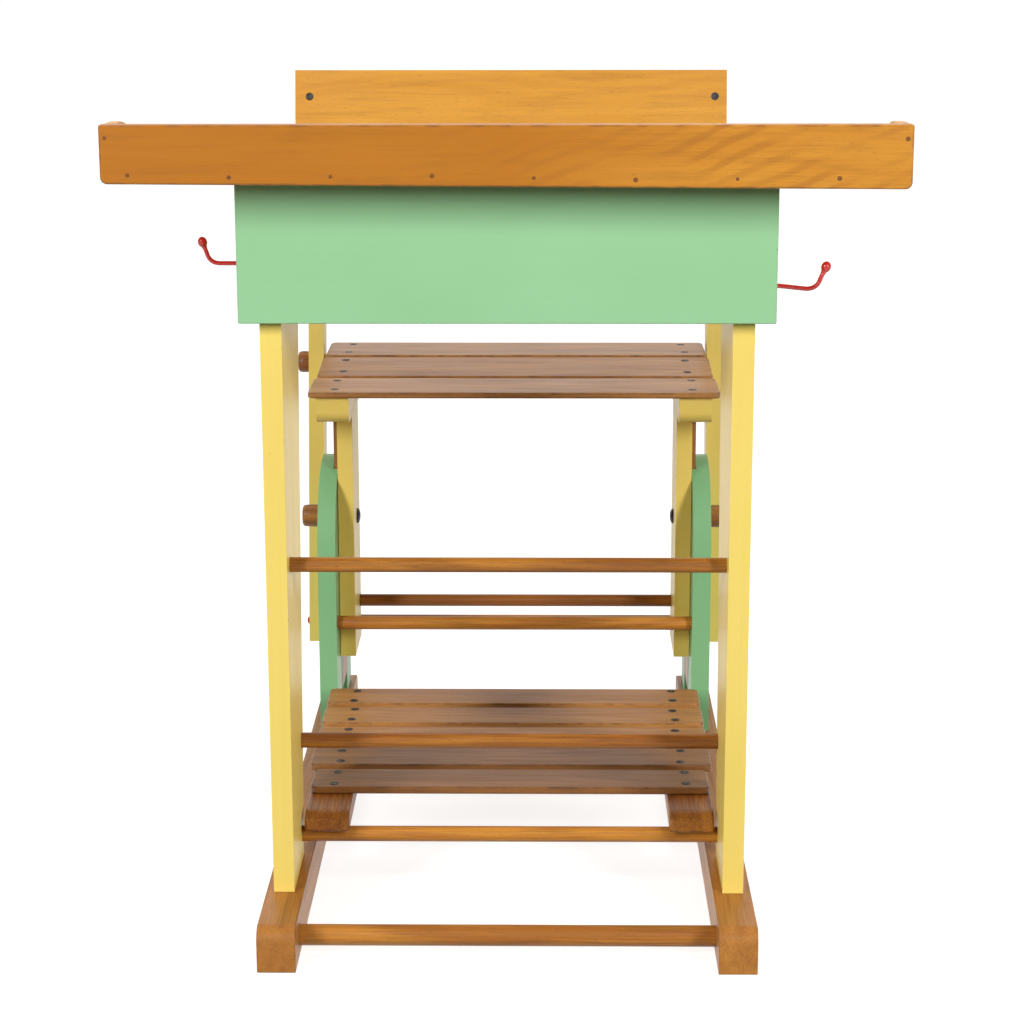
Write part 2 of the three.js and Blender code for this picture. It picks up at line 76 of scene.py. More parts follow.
# Each board's grain direction, and the radius of its softened edges.
WOOD_EDGE = 1.4 * MM
BOARDS = {
    "skid": (ALONG_Y, 3.2 * MM),
    "desk_leg": (ALONG_Z, WOOD_EDGE),
    "side_board": (ALONG_Z, 1.6 * MM),
    "apron": (ALONG_X, 1.2 * MM),
    "top_board": (ALONG_X, WOOD_EDGE),
    "top_front_rim": (ALONG_X, 2.2 * MM),
    "top_side_rim": (ALONG_Y, WOOD_EDGE),
    "top_cleat": (ALONG_Y, WOOD_EDGE),
    "footrest_rail": (ALONG_Y, 2.0 * MM),
    "footrest_slat": (ALONG_X, 1.8 * MM),
    "seat_rail": (ALONG_Y, WOOD_EDGE),
    "seat_post": (ALONG_Z, WOOD_EDGE),
    "seat_slat": (ALONG_X, 1.9 * MM),
    "slide_plate": (ALONG_Z, 0.7 * MM),
    "back_board": (ALONG_X, 2.0 * MM),
    "pivot_spacer": (ALONG_X, 0.5 * MM),
}
BOLT_EDGE = 0.35 * MM
BACK_SCREW_EDGE = 0.2 * MM
EDGE_STEPS = 3
SHARP_ANGLE = math.radians(32)  # edges at least this sharp are softened
FLAT_ANGLE = math.radians(1)  # edges flatter than this are joined into one face
SAME_POINT = 0.01 * MM
BOARD_SMOOTH, TURNED_SMOOTH, ROD_SMOOTH = 35, 40, 50  # degrees between faces that are shaded as one

# Turned pieces. Distances run along the axis from the end that meets the desk. A knob's foot is given as
# distances and how far each lies inside the full radius.
ROUND_SIDES = 48
BAR_CHAMFER = 1.0 * MM
BAR_WAISTS = ((0.25, 0.995), (0.5, 1.0), (0.75, 0.993))  # shares of the length and of the radius
KNOB = {
    "bore": 4.4 * MM, "bore_depth": 10 * MM, "round": 3.6 * MM, "round_steps": 8,
    "foot": ((0, 1.6 * MM), (0.5 * MM, 0.7 * MM), (1.4 * MM, 0.2 * MM)),
    "barrel_from": 1.8 * MM, "barrel": 0.35 * MM, "barrel_steps": 8,
    "end_mark": 0.2 * MM, "end_mark_size": 0.35,
}
HOOK = {"rod": 2.1 * MM, "tenon": 10 * MM, "straight": 2 * MM, "reach": 49 * MM, "corner": 59 * MM,
        "rise": 61.5 * MM, "rise_up": 9 * MM, "tip_up": 20 * MM, "reach_steps": 6, "bend_steps": 14}
HOOK_PLACES = {
    "left": {"z": 627.5 * MM, "sag": 0.0, "tip": 65.5 * MM},
    "right": {"z": 620.5 * MM, "sag": 5 * MM, "tip": 66.5 * MM},
}
BALL = {"long": 5.2 * MM, "width": 0.86, "sides": 32, "steps": 16, "first_step": 3}
BALL_COLLAR = ((1.25, 0.0), (1.25, 1.02), (0.98, 1.25))  # shares of the ball's length and of the rod's radius

# Screws and pins.
SLAT_SCREWS = {
    "seat_slat": {"reach": 198 * MM, "from_front": 20 * MM, "from_rear": 15 * MM},
    "footrest_slat": {"reach": 174 * MM, "from_front": 11 * MM, "from_rear": 10 * MM},
}
SLAT_SCREW_RADIUS = 4.1 * MM
SLAT_SCREW_LIP = 0.8 * MM
SLAT_SCREW_DRIFT = 1.6 * MM
BACK_SCREW_RADIUS = 4.6 * MM
FIRST_SCREW_SEED = 101
FIRST_PIN_SEED = 200
SCREW = {
    "half_slot": 0.13, "turn": 2.4, "arc_steps": 16, "round_steps": 32,
    "outlines": ((0.9, 0.25 * MM), (1.0, 0.05 * MM), (1.0, -0.8 * MM)),  # share of the radius, height
    "slot_floor": (0.99, 0.04 * MM),
    "lip": ((1.0, 0.02 * MM), (0.5, 0.12 * MM), (0.0, -0.1 * MM)),  # share of the lip's width, height
}
RIM_PINS = {"count": 8, "first": -0.326, "last": 0.287, "above_bottom": 8 * MM, "left_rise": 4.5 * MM,
            "end": 0.3445, "below_top": 11 * MM, "radius": 1.7 * MM, "drift": 1.2 * MM, "sides": 24}
PIN_PROFILE = ((-0.4 * MM, 1.1), (0.06 * MM, 1.1), (0.1 * MM, 0.9), (0.05 * MM, 0.75), (0.05 * MM, 0.0))

# Stage, light and camera.
DOME_RADIUS = 14.0
DOME_SIDES = 64
FLOOR_GAP = 0.5 * MM
FLOOR = {"glow": 0.8, "tint": 0.45}
WALL = {"glow": 1.0, "tint": 0.0}
STAGE_ROUGHNESS = 0.9
LIGHTS = {
    "key_left": {"place": (-2.75, -4.1, 2.6), "target": (0, 0, 0.4), "size": (0.8, 2.6), "watts": 184},
    "key_right": {"place": (2.75, -4.1, 2.6), "target": (0, 0, 0.4), "size": (0.8, 2.6), "watts": 184},
    "top": {"place": (0, 0.2, 3.2), "target": (0, 0.1, 0), "size": (2.4, 2.4), "watts": 18},
}
AMBIENT = {"From Min": -0.3, "From Max": 1.0, "To Min": 0.05, "To Max": 1.3}  # dim in front, bright behind
CAMERA = {"x": 0.034, "before_skids": 2.139, "height": 0.959, "focal": 88.1, "sensor": 36, "down": 13.7,
          "turn": 0.767, "roll": -0.1}


# ---------------------------------------------------------------- shading helpers
def rgb(r, g, b):
    return (r, g, b, 1.0)


# Repeats a metre along, across and through the grain, then the noise's detail, roughness and distortion.
PATTERNS = {
    "bands": ((2.2, 30, 30), 2.5, 0.55, 0.6),
    "rings": ((1.6, 9, 9), 1.5, 0.5, 0.8),
    "fibres": ((14, 620, 620), 2.0, 0.6, 0.0),
    "flecks": ((150, 1400, 1400), 1.0, 0.5, 0.0),
    "blotches": ((5, 9, 9), 2.0, 0.5, 0.0),
    "streaks": ((9, 130, 130), 4.0, 0.65, 0.4),
    "worn_wood": ((70, 90, 90), 3.0, 0.5, 0.0),
    "curl_drift": ((9, 9, 16), 2.0, 0.5, 0.0),
    "curl_patches": ((12, 12, 30), 1.0, 0.5, 0.0),
    "brush_marks": ((5, 260, 260), 3.0, 0.6, 0.0),
    "paint_clouds": ((6, 10, 10), 3.0, 0.5, 0.0),
    "nicks": ((260, 330, 330), 1.0, 0.5, 0.0),
    "chips": ((120, 160, 160), 4.0, 0.7, 0.0),
    "enamel_clouds": ((90, 90, 90), 3.0, 0.5, 0.0),
    "enamel_wear": ((420, 420, 420), 3.0, 0.5, 0.0),
    "stains": ((240, 240, 240), 4.0, 0.65, 0.0),
}
MIX_FACTOR, MIX_A, MIX_B, MIX_RESULT = 0, 6, 7, 2  # sockets of a colour mix


class Shading:
    """Short calls for building one material's node tree."""

    def __init__(self, name):
        self.material = bpy.data.materials.new(name)
        self.material.use_nodes = True
        self.tree = self.material.node_tree
        self.shader = self.tree.nodes["Principled BSDF"]

    def put(self, socket, value):
        if isinstance(value, bpy.types.NodeSocket):
            self.tree.links.new(value, socket)
        else:
            socket.default_value = value

    def add(self, kind, *by_place, **by_name):
        node = self.tree.nodes.new(kind)
        for key, value in [*enumerate(by_place), *by_name.items()]:
            self.put(node.inputs[key], value)
        return node

    def attribute(self, name, output):
        node = self.add("ShaderNodeAttribute")
        node.attribute_name = name
        return node.outputs[output]

    @functools.cached_property
    def grain(self):
        """A point's place along, across and through the grain."""
        return self.attribute("grain", "Vector")

    @functools.cached_property
    def edge(self):
        """One on softened edges, nought on the flats between them."""
        return self.attribute("edge", "Fac")

    def axis(self, vector, letter):
        return self.add("ShaderNodeSeparateXYZ", vector).outputs[letter]

    def pattern(self, name):
        repeats, detail, roughness, distortion = PATTERNS[name]
        stretched = self.add("ShaderNodeVectorMath", self.grain, repeats)
        stretched.operation = "MULTIPLY"
        noise = self.add("ShaderNodeTexNoise", Vector=stretched.outputs["Vector"], Scale=1.0, Detail=detail,
                         Roughness=roughness, Distortion=distortion)
        return noise.outputs["Fac"]

    def math(self, operation, a, b=0.0, clamp=False):
        node = self.add("ShaderNodeMath", a, b)
        node.operation = operation
        node.use_clamp = clamp
        return node.outputs["Value"]

    def plus(self, a, b, clamp=False):
        return self.math("ADD", a, b, clamp)

    def times(self, a, b, clamp=False):
        return self.math("MULTIPLY", a, b, clamp)

    def remap(self, value, low, high, to_low=0.0, to_high=1.0):
        return self.add("ShaderNodeMapRange", value, low, high, to_low, to_high).outputs["Result"]

    def mix(self, factor, a, b):
        node = self.add("ShaderNodeMix")
        node.data_type = "RGBA"
        for place, value in ((MIX_FACTOR, factor), (MIX_A, a), (MIX_B, b)):
            self.put(node.inputs[place], value)
        return node.outputs[MIX_RESULT]

    def bump(self, height, strength, distance):
        node = self.add("ShaderNodeBump", Strength=strength, Distance=distance, Height=height)
        self.put(self.shader.inputs["Normal"], node.outputs["Normal"])

    def finish(self, color, roughness, **fixed):
        self.put(self.shader.inputs["Base Color"], color)
        self.put(self.shader.inputs["Roughness"], roughness)
        for key, value in fixed.items():
            self.shader.inputs[key.replace("_", " ")].default_value = value
        return self.material


# ---------------------------------------------------------------- materials
WOOD_UNDER_PAINT = rgb(0.20, 0.10, 0.045)
BARE_STEEL = rgb(0.05, 0.02, 0.015)
RINGS_PITCH = 46.0
CURL = {"pitch": 470.0, "drift": 9.0, "from": -0.16, "full": 0.06}  # radians a metre, radians, metres
CURL_RISE, CURL_RUN = 0.93, 0.36  # the slant of the waves
CURL_SHADE = rgb(0.40, 0.135, 0.010)
LEFT_TONE = rgb(0.43, 0.14, 0.003)


def curl(n):
    """The curly figure of the front rim: slanted dark waves that fill its right half."""
    x, z = n.axis(n.grain, "X"), n.axis(n.grain, "Z")
    slant = n.math("SUBTRACT", n.times(z, CURL_RISE), n.times(x, CURL_RUN))
    phase = n.plus(n.times(slant, CURL["pitch"]), n.times(n.pattern("curl_drift"), CURL["drift"]))
    wave = n.remap(n.math("SINE", phase), -0.1, 0.75)
    patches = n.remap(n.pattern("curl_patches"), 0.36, 0.62)
    start = n.remap(x, CURL["from"], CURL["full"])
    return n.times(n.times(wave, patches), start, clamp=True)


def wood_material(name, light, dark, deep, gloss=0.36, contrast=1.0, curly=False):
    """Varnished beech: soft bands along the grain, fine fibres and the short dark flecks of beech."""
    n = Shading(name)
    fibres = n.pattern("fibres")
    flecks = n.pattern("flecks")
    rings = n.math("SINE", n.times(n.pattern("rings"), RINGS_PITCH))
    tone = n.plus(n.remap(n.pattern("bands"), 0.3, 0.7, 0.0, 0.62 * contrast),
                  n.remap(rings, -1.0, 1.0, 0.0, 0.22 * contrast))
    tone = n.plus(tone, n.remap(fibres, 0.35, 0.7, 0.0, 0.34 * contrast), clamp=True)
    color = n.mix(tone, light, dark)
    color = n.mix(n.remap(flecks, 0.66, 0.74, 0.0, 0.5), color, deep)
    color = n.mix(n.remap(n.pattern("blotches"), 0.35, 0.75, 0.0, 0.35), color, dark)
    if curly:
        color = n.mix(n.remap(n.axis(n.grain, "X"), 0.0, 0.2, 0.8, 0.0), color, LEFT_TONE)
        color = n.mix(n.times(curl(n), 0.5), color, CURL_SHADE)
    color = n.mix(n.remap(n.pattern("streaks"), 0.5, 0.68, 0.0, 0.4 * contrast - 0.2), color, deep)
    worn = n.remap(n.pattern("worn_wood"), 0.42, 0.7, 0.1, 0.65)
    color = n.mix(n.times(n.edge, worn), color, deep)
    n.bump(n.plus(fibres, n.times(flecks, -0.6)), 0.22, 0.4 * MM)
    rough = n.remap(fibres, 0.3, 0.7, gloss - 0.05, gloss + 0.12)
    return n.finish(color, rough, Coat_Weight=0.06, Coat_Roughness=0.25, Specular_IOR_Level=0.38)


def paint_material(name, base, shade, gloss=0.34):
    """Brushed satin paint: faint brush marks, slight tone changes, small chips along the edges."""
    n = Shading(name)
    brush = n.pattern("brush_marks")
    clouds = n.pattern("paint_clouds")
    color = n.mix(n.remap(clouds, 0.3, 0.75, 0.0, 0.55), base, shade)
    color = n.mix(n.remap(brush, 0.35, 0.75, 0.0, 0.22), color, shade)
    color = n.mix(n.times(n.edge, n.remap(clouds, 0.35, 0.7, 0.05, 0.35)), color, shade)
    chips = n.times(n.edge, n.remap(n.pattern("chips"), 0.62, 0.66))
    color = n.mix(chips, color, WOOD_UNDER_PAINT)
    color = n.mix(n.remap(n.pattern("nicks"), 0.80, 0.83, 0.0, 0.5), color, WOOD_UNDER_PAINT)
    n.bump(n.plus(brush, n.times(chips, -1.5)), 0.14, 0.35 * MM)
    rough = n.remap(brush, 0.3, 0.7, gloss - 0.04, gloss + 0.1)
    return n.finish(color, rough, Specular_IOR_Level=0.3)


def enamel_material(name, base, dark):
    """Glossy enamel on steel, cloudy in tone and worn through in specks."""
    n = Shading(name)
    clouds = n.pattern("enamel_clouds")
    wear = n.pattern("enamel_wear")
    color = n.mix(n.remap(clouds, 0.35, 0.7, 0.0, 0.6), base, dark)
    color = n.mix(n.remap(wear, 0.72, 0.77, 0.0, 0.6), color, BARE_STEEL)
    n.bump(clouds, 0.1, 0.3 * MM)
    return n.finish(color, n.remap(wear, 0.3, 0.75, 0.22, 0.42), Coat_Weight=0.5, Coat_Roughness=0.12)


def steel_material(name, bright, rust):
    """Dark old steel with duller, browner stains."""
    n = Shading(name)
    stains = n.pattern("stains")
    n.bump(stains, 0.25, 0.3 * MM)
    color = n.mix(n.remap(stains, 0.4, 0.66), bright, rust)
    return n.finish(color, n.remap(stains, 0.35, 0.7, 0.34, 0.68), Metallic=0.75)


materials = {
    "beech": wood_material("honey_beech", rgb(0.80, 0.385, 0.044), rgb(0.63, 0.265, 0.022),
                           rgb(0.22, 0.075, 0.010)),
    "rim": wood_material("curly_beech", rgb(0.74, 0.340, 0.036), rgb(0.52, 0.190, 0.010),
                         rgb(0.20, 0.068, 0.008), curly=True),
    "slat": wood_material("brown_beech", rgb(0.56, 0.265, 0.072), rgb(0.33, 0.138, 0.032),
                          rgb(0.09, 0.034, 0.010), gloss=0.42, contrast=1.15),
    # A darker copy of the slat wood: painted shade on two footrest slats, where the desk top keeps light off
    # them.
    "shaded_slat": wood_material("shaded_brown_beech", rgb(0.33, 0.142, 0.038), rgb(0.18, 0.070, 0.016),
                               rgb(0.07, 0.026, 0.008), gloss=0.42, contrast=1.15),
    "dark_beech": wood_material("dowel_beech", rgb(0.64, 0.262, 0.030), rgb(0.23, 0.072, 0.009),
                                rgb(0.06, 0.020, 0.006), gloss=0.4, contrast=1.35),
    # A lighter copy of the dowel wood: painted light on the base, front footrest and upper rear dowels, which
    # take more light.
    "lit_dowel": wood_material("lit_dowel_beech", rgb(0.80, 0.36, 0.045), rgb(0.36, 0.122, 0.014),
                                 rgb(0.08, 0.028, 0.007), gloss=0.4, contrast=1.3),
    "skid": wood_material("skid_beech", rgb(0.58, 0.245, 0.040), rgb(0.34, 0.125, 0.018),
                          rgb(0.10, 0.034, 0.008), gloss=0.4, contrast=1.15),
    "walnut_stain": wood_material("dark_turned_wood", rgb(0.62, 0.25, 0.035), rgb(0.24, 0.075, 0.012),
                                  rgb(0.04, 0.014, 0.005), gloss=0.38, contrast=1.35),
    "yellow_paint": paint_material("yellow_paint", rgb(0.90, 0.69, 0.165), rgb(0.80, 0.585, 0.120)),
    "green_paint": paint_material("mint_paint", rgb(0.315, 0.600, 0.318), rgb(0.270, 0.540, 0.272)),
    "side_green": paint_material("green_paint", rgb(0.232, 0.495, 0.240), rgb(0.195, 0.44, 0.202)),
    "red_enamel": enamel_material("red_enamel", rgb(0.66, 0.014, 0.008), rgb(0.42, 0.008, 0.006)),
    "pin": wood_material("pin_wood", rgb(0.30, 0.11, 0.018), rgb(0.14, 0.045, 0.009),
                         rgb(0.04, 0.015, 0.006)),
    "steel": steel_material("dark_steel", rgb(0.075, 0.075, 0.075), rgb(0.03, 0.018, 0.014)),
}


def material_for(node):
    """A node's own finish where it differs from the rest of its slot, otherwise its slot's. Two footrest
    slats and three dowels get a darker and a lighter copy of their wood, as painted shade and painted light.
    """
    if node.startswith("skid"):
        return materials["skid"]
    # Two footrest slats take the darker slat wood, as painted shade.
    if node in ("footrest_slat_1", "footrest_slat_2"):
        return materials["shaded_slat"]
    # Three dowels take the lighter dowel wood, as painted light.
    if node in ("base_dowel", "footrest_dowel_front", "upper_dowel_rear"):
        return materials["lit_dowel"]
    if "slat_" in node:
        return materials["slat"]
    if node == "top_front_rim":
        return materials["rim"]
    if node.startswith("side_board"):
        return materials["side_green"]
    return materials[slot_of_node[node]]


# ---------------------------------------------------------------- mesh helpers
def placed(name, data):
    obj = bpy.data.objects.new(name, data)
    bpy.context.scene.collection.objects.link(obj)
    return obj


def grain_shift(seed):
    """Moves each piece to its own stretch of the patterns, so that no two pieces match."""
    if seed == FIXED_GRAIN:
        return Vector((0, 0, 0))
    return Vector((math.sin(seed * 12.9) * 3.1, math.sin(seed * 78.2) * 2.3, math.cos(seed * 37.7) * 2.7))


def add_grain(mesh, along, seed):
    """Stores each point's place along, across and through the grain."""
    along = Vector(along).normalized()
    lies_along_x = abs(along.x) > 0.9
    across = Vector(ALONG_Y) if lies_along_x else along.orthogonal().normalized()
    through = along.cross(across)
    shift = grain_shift(seed)
    layer = mesh.attributes.new("grain", "FLOAT_VECTOR", "POINT")
    for v in mesh.vertices:
        place = Vector((v.co.dot(along), v.co.dot(across), v.co.dot(through)))
        layer.data[v.index].vector = place + shift


def weigh_normals(mesh, limit):
    """Corner normals led by the largest faces, so flat boards stay flat right up to their rounded edges."""
    faces_at = [[] for _ in mesh.vertices]
    for face in mesh.polygons:
        for v in face.vertices:
            faces_at[v].append(face)
    normals = []
    for face in mesh.polygons:
        own = face.normal.copy()
        for v in face.vertices:
            total = Vector()
            for other in faces_at[v]:
                if own.angle(other.normal, 0.0) < limit:
                    total += other.normal * other.area
            normals.append(total.normalized() if total.length > 0 else own)
    mesh.normals_split_custom_set(normals)


def make_object(name, bm, along, seed, material, smooth_angle, edge_faces=()):
    """A smooth-shaded piece with its grain, and with its edge faces (given by number) marked for wear."""
    mesh = bpy.data.meshes.new(name)
    bm.to_mesh(mesh)
    bm.free()
    layer = mesh.attributes.new("edge", "FLOAT", "FACE")
    for number in edge_faces:
        layer.data[number].value = 1.0
    add_grain(mesh, along, seed)
    mesh.shade_smooth()
    weigh_normals(mesh, math.radians(smooth_angle))
    mesh.materials.append(material)
    return placed(name, mesh)


def ride_with(obj, node):
    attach(obj, body_of_node[node])


def stand_for(obj, node):
    ride_with(obj, node)
    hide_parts(node)


def softened(node, width, along, seed):
    """A copy of a CAD solid with its sharp edges rounded, which stands for that node."""
    bm = bmesh.new()
    bm.from_mesh(nodes[node].data)
    bmesh.ops.remove_doubles(bm, verts=bm.verts, dist=SAME_POINT)
    bmesh.ops.dissolve_limit(bm, angle_limit=FLAT_ANGLE, verts=bm.verts, edges=bm.edges)
    sharp = [e for e in bm.edges if len(e.link_faces) == 2 and e.calc_face_angle(0.0) > SHARP_ANGLE]
    made = bmesh.ops.bevel(bm, geom=sharp, offset=width, offset_type="OFFSET", segments=EDGE_STEPS,
                           profile=0.5, affect="EDGES", clamp_overlap=True)
    bm.faces.index_update()
    edge_faces = {f.index for f in made["faces"] if f.is_valid}
    bmesh.ops.recalc_face_normals(bm, faces=bm.faces)
    shown = make_object(f"{node}_shown", bm, along, seed, material_for(node), BOARD_SMOOTH, edge_faces)
    stand_for(shown, node)


def circle(steps):
    """The angles of a full round."""
    return [2 * math.pi * i / steps for i in range(steps)]


def join_rings(bm, a, b):
    """Faces between two closed rings of as many points each, or between a ring and a single point."""
    count = max(len(a), len(b))
    for i in range(count):
        j = (i + 1) % count
        corners = [a[i % len(a)], a[j % len(a)], b[j % len(b)], b[i % len(b)]]
        corners = list(dict.fromkeys(corners))
        if len(corners) > 2:
            bm.faces.new(corners)


def turned(name, profile, origin, axis, seed, material, sides=ROUND_SIDES):
    """A solid of revolution. profile is (distance along the axis, radius) from end to end."""
    axis = Vector(axis).normalized()
    side = axis.orthogonal().normalized()
    up = axis.cross(side)
    bm = bmesh.new()
    rings = []
    for along, radius in profile:
        centre = Vector(origin) + axis * along
        rings.append([bm.verts.new(centre + (side * math.cos(a) + up * math.sin(a)) * radius)
                      for a in circle(sides if radius > 0 else 1)])
    for a, b in itertools.pairwise(rings):
        join_rings(bm, a, b)
    bmesh.ops.recalc_face_normals(bm, faces=bm.faces)
    return make_object(name, bm, axis, seed, material, TURNED_SMOOTH)


# ---------------------------------------------------------------- dowels and knobs
def round_bar(node, seed):
    """A dowel: a long round bar, a trace slimmer in places as hand-turned bars are."""
    low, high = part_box(node)
    radius = (high.z - low.z) / 2
    length = high.x - low.x
    profile = [(0, 0), (0, radius - BAR_CHAMFER), (BAR_CHAMFER, radius)]
    profile += [(length * share, radius * waist) for share, waist in BAR_WAISTS]
    profile += [(length - BAR_CHAMFER, radius), (length, radius - BAR_CHAMFER), (length, 0)]
    start = (low.x, (low.y + high.y) / 2, (low.z + high.z) / 2)
    stand_for(turned(f"{node}_shown", profile, start, ALONG_X, seed, material_for(node)), node)


def knob(node, seed):
    """A turned clamp knob: barrel sides, a well-rounded end and a blind bore for its bolt."""
    low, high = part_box(node)
    side = 1 if low.x > 0 else -1
    foot = low.x if side > 0 else high.x
    length, radius = high.x - low.x, (high.z - low.z) / 2
    profile = [(KNOB["bore_depth"], 0), (KNOB["bore_depth"], KNOB["bore"]), (0, KNOB["bore"])]
    profile += [(along, radius - inside) for along, inside in KNOB["foot"]]
    for i in range(KNOB["barrel_steps"] + 1):
        t = i / KNOB["barrel_steps"]
        along = KNOB["barrel_from"] + (length - KNOB["barrel_from"] - KNOB["round"]) * t
        profile.append((along, radius - KNOB["barrel"] * abs(2 * t - 1) ** 3))
    for i in range(1, KNOB["round_steps"] + 1):
        a = math.pi / 2 * i / KNOB["round_steps"]
        profile.append((length - KNOB["round"] + KNOB["round"] * math.sin(a),
                        radius - KNOB["barrel"] - KNOB["round"] * (1 - math.cos(a))))
    end = length - KNOB["end_mark"]
    profile += [(end, radius * KNOB["end_mark_size"]), (end, 0)]
    start = (foot, (low.y + high.y) / 2, (low.z + high.z) / 2)
    stand_for(turned(f"{node}_shown", profile, start, (side, 0, 0), seed, material_for(node)), node)


# ---------------------------------------------------------------- bag hooks
def sweep(bm, path, radius, sides=20):
    """A round rod along a list of points that lie in one plane across Y."""
    rings = []
    depth = Vector(ALONG_Y)
    for i, place in enumerate(path):
        ahead = path[min(i + 1, len(path) - 1)]
        behind = path[max(i - 1, 0)]
        across = (ahead - behind).normalized().cross(depth).normalized()
        rings.append([bm.verts.new(place + (across * math.cos(a) + depth * math.sin(a)) * radius)
                      for a in circle(sides)])
    for a, b in itertools.pairwise(rings):
        join_rings(bm, a, b)
    bm.faces.new(rings[0])
    bm.faces.new(rings[-1])


def hook(node, word, seed):
    """A bag hook: a red rod with one smooth bend, ending in an egg-shaped ball."""
    low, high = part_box(node)
    side = SIDES[word]
    place = HOOK_PLACES[word]
    leg_face = abs(low.x if side > 0 else high.x) + HOOK["tenon"]
    y = (low.y + high.y) / 2

    def at(out, up):
        return Vector((side * (leg_face + out), y, place["z"] + up))

    sag = place["sag"]
    straight = at(HOOK["straight"], 0)
    start, corner = at(HOOK["reach"], -sag), at(HOOK["corner"], -sag)
    end, tip = at(HOOK["rise"], HOOK["rise_up"] - sag), at(place["tip"], HOOK["tip_up"] - sag)
    path = [at(-HOOK["tenon"], 0), at(0, 0), straight]
    for i in range(1, HOOK["reach_steps"] + 1):
        path.append(straight.lerp(start, i / HOOK["reach_steps"]))
    for i in range(1, HOOK["bend_steps"] + 1):
        t = i / HOOK["bend_steps"]
        path.append(start.lerp(corner, t).lerp(corner.lerp(end, t), t))
    path.append(tip)
    bm = bmesh.new()
    sweep(bm, path, HOOK["rod"])
    stand_for(make_object(f"{node}_shown", bm, ALONG_X, seed, material_for(node), ROD_SMOOTH), node)

    long, wide = BALL["long"], BALL["long"] * BALL["width"]
    profile = [(-long * share, HOOK["rod"] * width) for share, width in BALL_COLLAR]
    for i in range(BALL["first_step"], BALL["steps"]):
        a = math.pi * i / BALL["steps"]
        profile.append((-long * math.cos(a), wide * math.sin(a)))
    profile.append((long, 0))
    ball = turned(f"{node}_ball", profile, tip, tip - end, seed + 0.5, material_for(node), BALL["sides"])
    ride_with(ball, node)


# ---------------------------------------------------------------- every CAD node
def centre_of(points):
    return sum((Vector(p) for p in points), Vector()) / len(points)


def lean_axis():
    """Direction up a back post, from the centres of its two ends."""
    low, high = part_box("back_post_left")
    end_zone = 9 * MM
    places = [v.co for v in nodes["back_post_left"].data.vertices]
    top = centre_of([p for p in places if p.z > high.z - end_zone])
    foot = centre_of([p for p in places if p.z < low.z + end_zone])
    return (top - foot).normalized()


up_back = lean_axis()


def show(node, seed):
    """Makes the piece that stands for one CAD node."""
    board = next((stem for stem in BOARDS if node.startswith(stem)), None)
    if board:
        along, width = BOARDS[board]
        softened(node, width, along, FIXED_GRAIN if node == "top_front_rim" else seed)
    elif node.startswith("back_post"):
        softened(node, WOOD_EDGE, up_back, seed)
    elif node.startswith("back_screw"):
        softened(node, BACK_SCREW_EDGE, ALONG_Y, seed)
    elif "knob" in node:
        knob(node, seed)
    elif node.startswith("bag_hook"):
        hook(node, node.removeprefix("bag_hook_"), seed)
    elif "bolt" in node or node.startswith("dowel_screw"):
        softened(node, BOLT_EDGE, ALONG_X, seed)
    else:
        round_bar(node, seed)  # the dowels and the seat's stretcher


for node_seed, node_name in enumerate(sorted(nodes), start=1):
    show(node_name, node_seed)


# ---------------------------------------------------------------- screws
def frame_of(normal, turn):
    """Two directions across a normal, turned by an angle about it, and the normal."""
    normal = Vector(normal).normalized()
    first = normal.orthogonal().normalized()
    second = normal.cross(first)
    return (first * math.cos(turn) + second * math.sin(turn),
            second * math.cos(turn) - first * math.sin(turn), normal)


def slotted_head(name, centre, normal, radius, body, seed, lip=0.0):
    """A screw head with a straight slot across it: two half discs over a lower full disc."""
    across, along, up = frame_of(normal, seed * SCREW["turn"])
    half_slot = radius * SCREW["half_slot"]
    bm = bmesh.new()

    def ring(points, height):
        return [bm.verts.new(centre + across * u + along * v + up * height) for u, v in points]

    def round_ring(size, height):
        angles = circle(SCREW["round_steps"])
        return ring([(size * math.cos(a), size * math.sin(a)) for a in angles], height)

    for sign in (-1, 1):
        outlines = []
        for share, height in SCREW["outlines"]:
            size = radius * share
            start = math.asin(half_slot / size)
            steps = SCREW["arc_steps"]
            arc = [start + (math.pi - 2 * start) * k / steps for k in range(steps + 1)]
            outlines.append(ring([(size * math.cos(a), sign * size * math.sin(a)) for a in arc], height))
        bm.faces.new(outlines[0])
        for a, b in itertools.pairwise(outlines):
            join_rings(bm, a, b)
    share, height = SCREW["slot_floor"]
    bm.faces.new(round_ring(radius * share, height))
    if lip:
        rings = [round_ring(radius + lip * share, height) for share, height in SCREW["lip"]]
        for a, b in itertools.pairwise(rings):
            join_rings(bm, a, b)
    bmesh.ops.recalc_face_normals(bm, faces=bm.faces)
    obj = make_object(name, bm, normal, seed, materials["steel"], TURNED_SMOOTH)
    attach(obj, body)


def top_face(node):
    """The normal of a board's upper face, and a point on it. One seat slat is tilted."""
    upward = [f for f in nodes[node].data.polygons if f.normal.z > 0.9]
    largest = max(upward, key=lambda f: f.area)
    return largest.normal.copy(), largest.center.copy()


def slat_screws(seeds):
    """Four screws through each slat, a little off their marks as hand-set screws are."""
    for stem, marks in SLAT_SCREWS.items():
        for slat in sorted(node for node in nodes if node.startswith(stem)):
            low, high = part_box(slat)
            slope, on_top = top_face(slat)
            rows = {"front": low.y + marks["from_front"], "rear": high.y - marks["from_rear"]}
            for word, side in SIDES.items():
                for level, y in rows.items():
                    seed = next(seeds)
                    drift = math.sin(seed * 5.1) * SLAT_SCREW_DRIFT
                    place = Vector((side * marks["reach"] + drift, y + drift, 0))
                    fall = slope.x * (place.x - on_top.x) + slope.y * (place.y - on_top.y)
                    place.z = on_top.z - fall / slope.z
                    slotted_head(f"screw_{slat}_{word}_{level}", place, slope, SLAT_SCREW_RADIUS,
                                 body_of_node[slat], seed, SLAT_SCREW_LIP)


